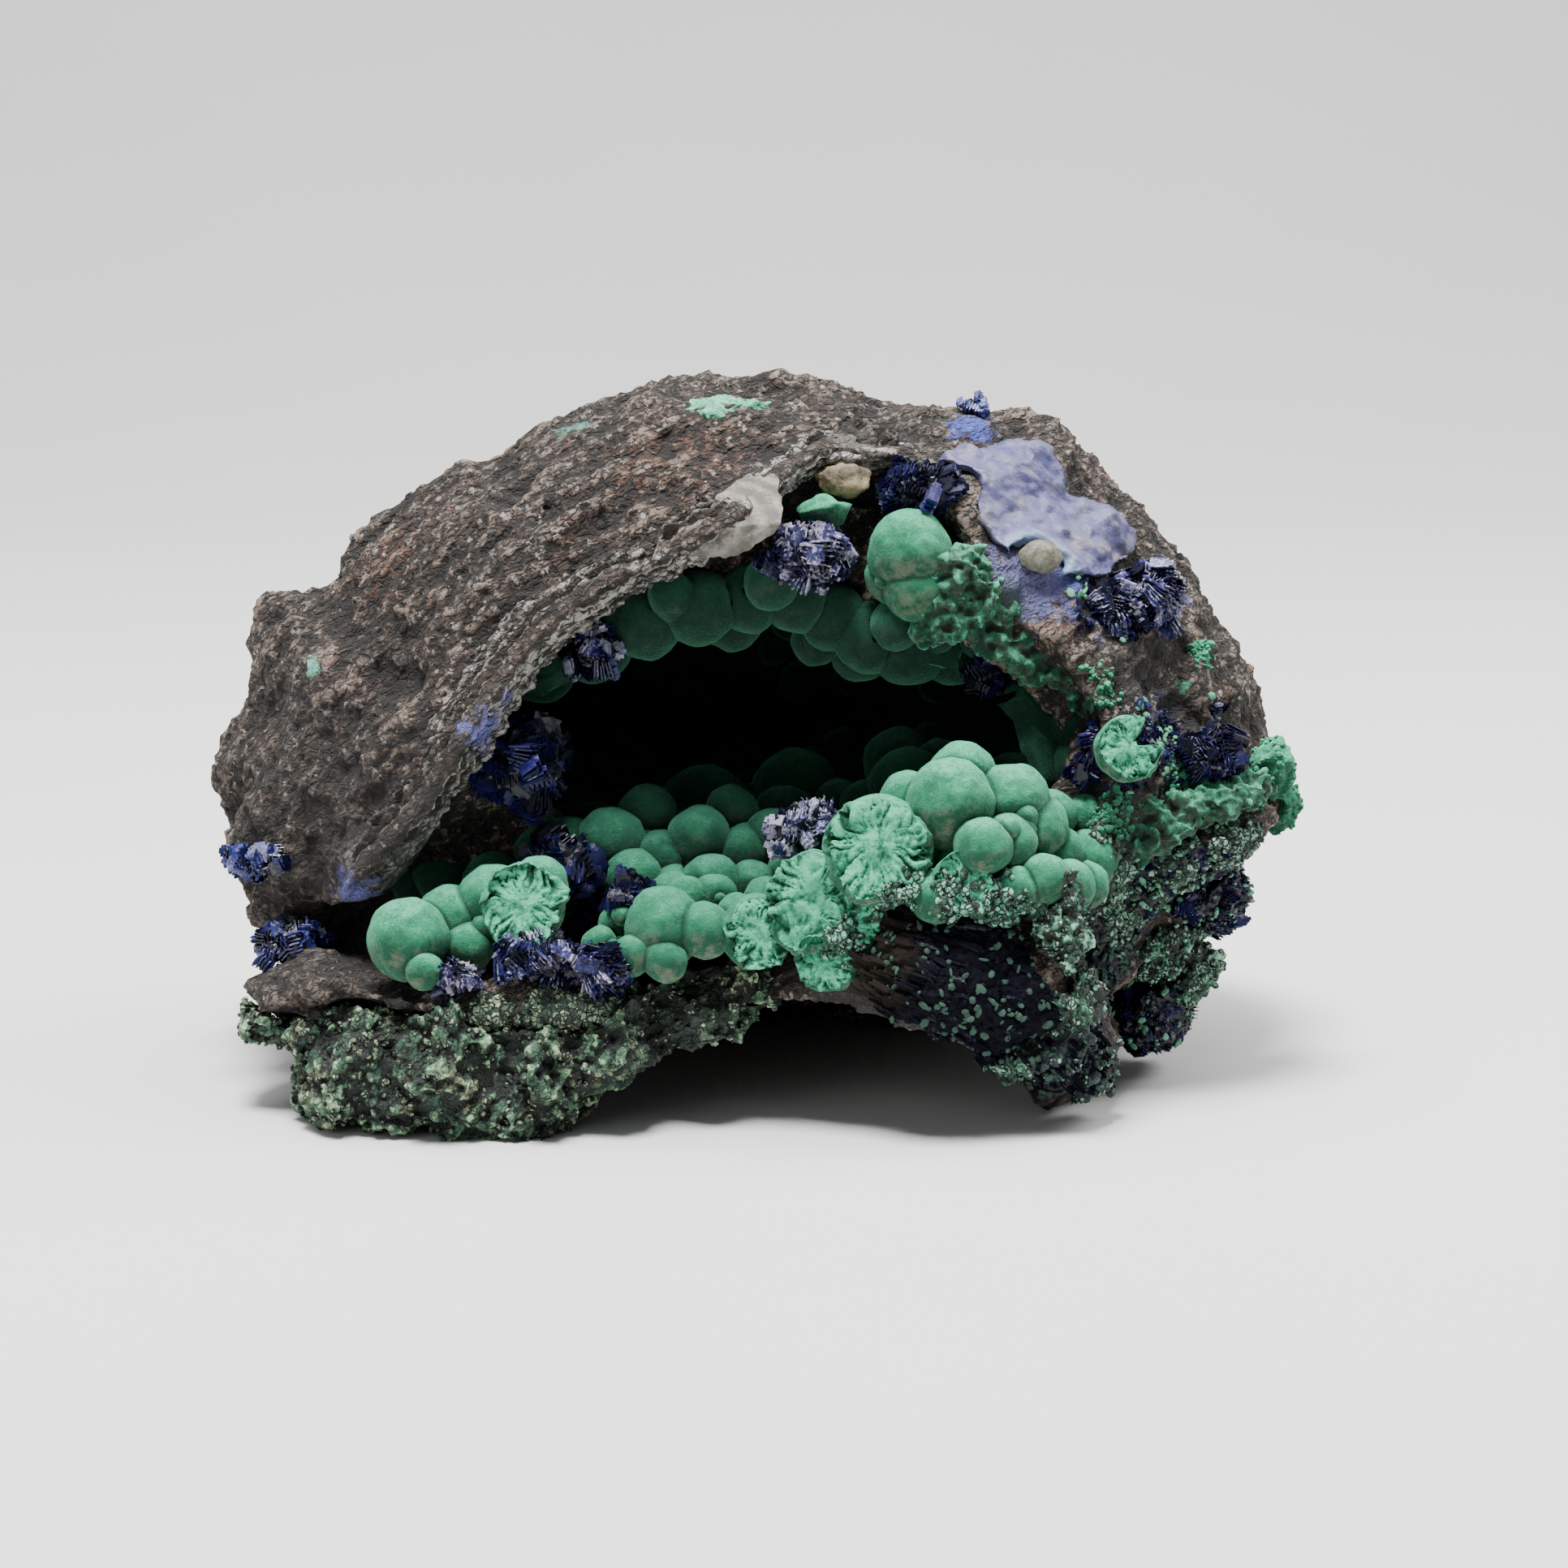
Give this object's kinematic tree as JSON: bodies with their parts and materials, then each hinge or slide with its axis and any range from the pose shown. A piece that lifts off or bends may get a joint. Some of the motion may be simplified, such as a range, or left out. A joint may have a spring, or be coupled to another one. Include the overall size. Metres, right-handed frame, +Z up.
{
  "type": "malachite vug",
  "caption": "Domed piece of gossan, broken open at the front onto a hollow lined with malachite balls, with azurite rosettes round its mouth; it stands on feet with an arch between them.",
  "frame": {"origin": "on the surface that the specimen stands on, under the middle of its bounding box", "axes": "+X to the right as one looks into the hollow, +Y into the hollow, from front to back, +Z up"},
  "size_m": [0.096, 0.0706, 0.0614],
  "materials": {
    "gossan": "rough, pitted, brown-grey with rust stains and pale grey layers along the rim",
    "malachite": "velvety matte mint to deep green, with radiating fibres where balls are broken",
    "azurite": "near-black blue, bladed crystals with bright glints",
    "green_crust": "sugary granular green-tan druse, matte with small sparkles",
    "pale_blue": "smooth, mottled pale lavender-blue, low gloss",
    "grey_stone": "grey to olive-tan, faintly ringed, satin"
  },
  "bodies": {
    "root": {"host_rock": "gossan", "azurite_alcove": "azurite", "azurite_block_slab": "azurite", "azurite_brow_rosette": "azurite", "azurite_crest": "azurite", "azurite_floor_bud": "azurite", "azurite_floor_rosette": "azurite", "azurite_ledge_patch": "azurite", "azurite_left_patch": "azurite", "azurite_left_small": "azurite", "azurite_left_wall": "azurite", "azurite_lip_bud": "azurite", "azurite_lip_strip": "azurite", "azurite_lower_skirt": "azurite", "azurite_mound_back": "azurite", "azurite_right_mass": "azurite", "azurite_roof_tuft": "azurite", "azurite_shoulder": "azurite", "azurite_upper_skirt": "azurite", "azurite_wall": "azurite", "grey_nodule": "grey_stone", "tan_crystal": "grey_stone", "pale_blue_seam": "pale_blue", "malachite_alcove": "malachite", "malachite_brow": "malachite", "malachite_centre_lip": "malachite", "malachite_left_crust": "green_crust", "malachite_left_lip": "malachite", "malachite_lining": "malachite", "malachite_mound": "malachite", "malachite_ridge": "malachite", "malachite_right_crust": "green_crust", "malachite_rind": "malachite", "malachite_skirt_druse": "green_crust", "malachite_top_patch": "malachite", "malachite_wall_ball": "malachite"}
  },
  "joints": []
}
